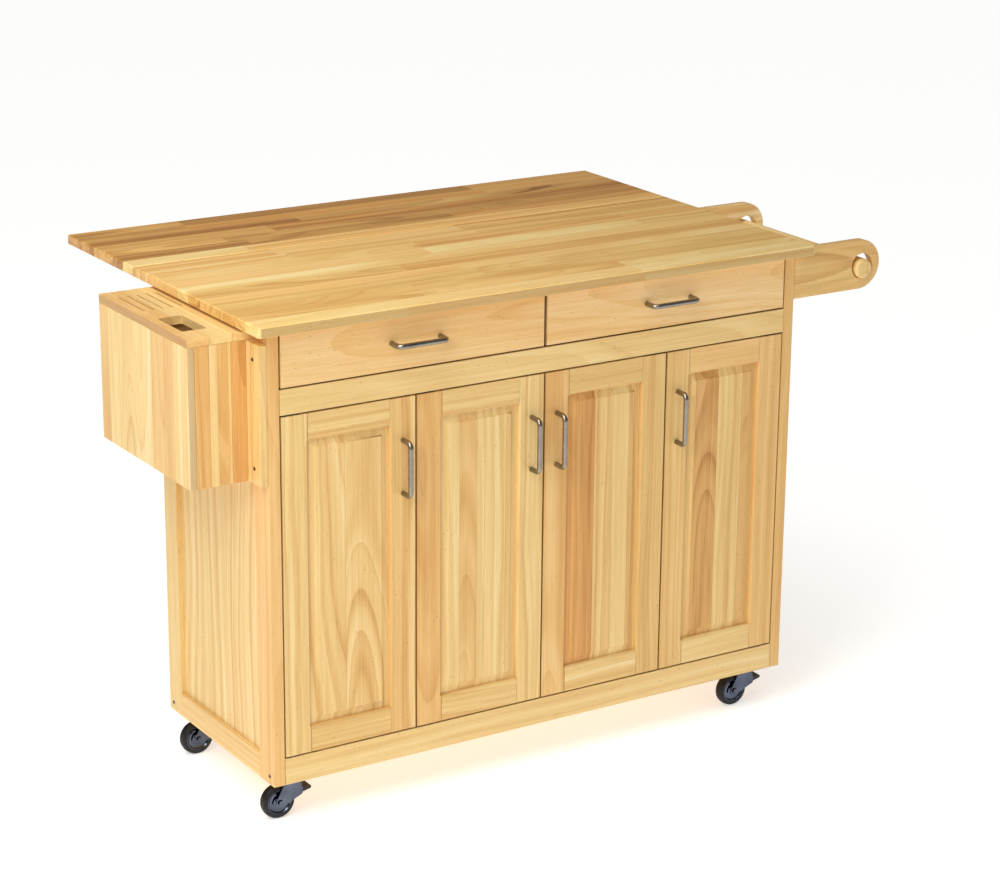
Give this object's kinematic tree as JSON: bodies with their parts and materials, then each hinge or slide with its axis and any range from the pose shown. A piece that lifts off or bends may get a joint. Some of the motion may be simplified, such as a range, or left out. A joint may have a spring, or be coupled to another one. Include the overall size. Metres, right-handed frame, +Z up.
{
  "type": "rolling kitchen island",
  "caption": "Wooden rolling kitchen island with a strip-glued top, raised drop leaf, drawers, doors, side knife block, towel rack and locking casters.",
  "frame": {"origin": "on the floor, at the middle of the whole island's width and depth with the leaf raised", "axes": "+Z up, front with doors and drawers towards -Y, towel rack towards +X, knife block towards -X"},
  "size_m": [1.4194, 0.7736, 0.914],
  "materials": {
    "rubberwood": "satin lacquer over pale golden rubberwood",
    "butcher_block": "glossy lacquer over edge-glued rubberwood strips",
    "satin_nickel": "satin nickel",
    "zinc_plate": "bright zinc plate",
    "brass": "turned",
    "caster_tyre": "smooth black rubber",
    "brake_pedal": "black",
    "catch_plastic": "white moulded"
  },
  "bodies": {
    "cabinet": {"back_panel": "rubberwood", "bracket_wall_channels": "zinc_plate", "cabinet_floor": "rubberwood", "caster_plates": "zinc_plate", "door_bushes": "brass", "door_catches": "catch_plastic", "drawer_channels": "zinc_plate", "drawer_deck": "rubberwood", "face_rails": "rubberwood", "knife_block_lid": "rubberwood", "knife_block_walls": "rubberwood", "leaf_hinges_fixed": "zinc_plate", "main_top": "butcher_block", "partitions": "rubberwood", "screws": "zinc_plate", "shelf_cleats": "rubberwood", "shelves": "rubberwood", "side_frame_left": "rubberwood", "side_frame_right": "rubberwood", "side_panels": "rubberwood", "towel_arms": "rubberwood"},
    "door_1": {"door_1_frame": "rubberwood", "door_1_panel": "rubberwood", "door_1_pivots": "zinc_plate", "door_1_pull": "satin_nickel"},
    "door_2": {"door_2_frame": "rubberwood", "door_2_panel": "rubberwood", "door_2_pivots": "zinc_plate", "door_2_pull": "satin_nickel"},
    "door_3": {"door_3_frame": "rubberwood", "door_3_panel": "rubberwood", "door_3_pivots": "zinc_plate", "door_3_pull": "satin_nickel"},
    "door_4": {"door_4_frame": "rubberwood", "door_4_panel": "rubberwood", "door_4_pivots": "zinc_plate", "door_4_pull": "satin_nickel"},
    "left_drawer": {"left_drawer_front": "rubberwood", "left_drawer_box": "rubberwood", "left_drawer_runners": "zinc_plate", "left_drawer_pull": "satin_nickel"},
    "right_drawer": {"right_drawer_front": "rubberwood", "right_drawer_box": "rubberwood", "right_drawer_runners": "zinc_plate", "right_drawer_pull": "satin_nickel"},
    "drop_leaf": {"drop_leaf": "butcher_block", "leaf_hinges_moving": "zinc_plate", "bracket_leaf_tracks": "zinc_plate"},
    "bracket_braces": {"bracket_braces": "zinc_plate"},
    "towel_bar": {"towel_bar": "rubberwood"},
    "caster_front_left": {"fork_front_left": "zinc_plate"},
    "wheel_front_left": {"wheel_front_left": "caster_tyre"},
    "brake_front_left": {"brake_lever_front_left": "brake_pedal"},
    "caster_front_right": {"fork_front_right": "zinc_plate"},
    "wheel_front_right": {"wheel_front_right": "caster_tyre"},
    "brake_front_right": {"brake_lever_front_right": "brake_pedal"},
    "caster_rear_left": {"fork_rear_left": "zinc_plate"},
    "wheel_rear_left": {"wheel_rear_left": "caster_tyre"},
    "caster_rear_right": {"fork_rear_right": "zinc_plate"},
    "wheel_rear_right": {"wheel_rear_right": "caster_tyre"}
  },
  "joints": [
    {"name": "door_1_hinge", "type": "hinge", "parent": "cabinet", "child": "door_1", "pos_m": [-0.55675, -0.34875, 0.1315], "axis": [0, 0, -1], "range_deg": [0, 105]},
    {"name": "door_2_hinge", "type": "hinge", "parent": "cabinet", "child": "door_2", "pos_m": [-0.29425, -0.34875, 0.1315], "axis": [0, 0, -1], "range_deg": [0, 105]},
    {"name": "door_3_hinge", "type": "hinge", "parent": "cabinet", "child": "door_3", "pos_m": [0.21575, -0.34875, 0.1315], "axis": [0, 0, 1], "range_deg": [0, 105]},
    {"name": "door_4_hinge", "type": "hinge", "parent": "cabinet", "child": "door_4", "pos_m": [0.47825, -0.34875, 0.1315], "axis": [0, 0, 1], "range_deg": [0, 105]},
    {"name": "left_drawer_slide", "type": "slide", "parent": "cabinet", "child": "left_drawer", "axis": [0, -1, 0], "range_m": [0, 0.3]},
    {"name": "right_drawer_slide", "type": "slide", "parent": "cabinet", "child": "right_drawer", "axis": [0, -1, 0], "range_m": [0, 0.3]},
    {"name": "leaf_hinge", "type": "hinge", "parent": "cabinet", "child": "drop_leaf", "pos_m": [-0.03925, 0.1, 0.893], "axis": [1, 0, 0], "range_deg": [-90, 0]},
    {"name": "brace_fold", "type": "hinge", "parent": "cabinet", "child": "bracket_braces", "pos_m": [-0.03925, 0.07125, 0.833], "axis": [1, 0, 0], "range_deg": [-99.9, 0]},
    {"name": "towel_bar_slide", "type": "slide", "parent": "cabinet", "child": "towel_bar", "axis": [0, -1, 0], "range_m": [0, 0.4]},
    {"name": "swivel_front_left", "type": "hinge", "parent": "cabinet", "child": "caster_front_left", "pos_m": [-0.53325, -0.30875, 0.0706], "axis": [0, 0, 1], "continuous": true},
    {"name": "roll_front_left", "type": "hinge", "parent": "caster_front_left", "child": "wheel_front_left", "pos_m": [-0.55825, -0.30875, 0.0315], "axis": [0, 1, 0], "continuous": true},
    {"name": "brake_front_left", "type": "hinge", "parent": "caster_front_left", "child": "brake_front_left", "pos_m": [-0.52025, -0.30875, 0.045], "axis": [0, 1, 0], "range_deg": [0, 15]},
    {"name": "swivel_front_right", "type": "hinge", "parent": "cabinet", "child": "caster_front_right", "pos_m": [0.45475, -0.30875, 0.0706], "axis": [0, 0, 1], "continuous": true},
    {"name": "roll_front_right", "type": "hinge", "parent": "caster_front_right", "child": "wheel_front_right", "pos_m": [0.42975, -0.30875, 0.0315], "axis": [0, 1, 0], "continuous": true},
    {"name": "brake_front_right", "type": "hinge", "parent": "caster_front_right", "child": "brake_front_right", "pos_m": [0.46775, -0.30875, 0.045], "axis": [0, 1, 0], "range_deg": [0, 15]},
    {"name": "swivel_rear_left", "type": "hinge", "parent": "cabinet", "child": "caster_rear_left", "pos_m": [-0.53325, 0.01325, 0.0706], "axis": [0, 0, 1], "continuous": true},
    {"name": "roll_rear_left", "type": "hinge", "parent": "caster_rear_left", "child": "wheel_rear_left", "pos_m": [-0.55825, 0.01325, 0.0315], "axis": [0, 1, 0], "continuous": true},
    {"name": "swivel_rear_right", "type": "hinge", "parent": "cabinet", "child": "caster_rear_right", "pos_m": [0.45475, 0.01325, 0.0706], "axis": [0, 0, 1], "continuous": true},
    {"name": "roll_rear_right", "type": "hinge", "parent": "caster_rear_right", "child": "wheel_rear_right", "pos_m": [0.42975, 0.01325, 0.0315], "axis": [0, 1, 0], "continuous": true}
  ],
  "couplings": [
    {"joint": "brace_fold", "follows": "leaf_hinge", "ratio": 1.1099}
  ]
}
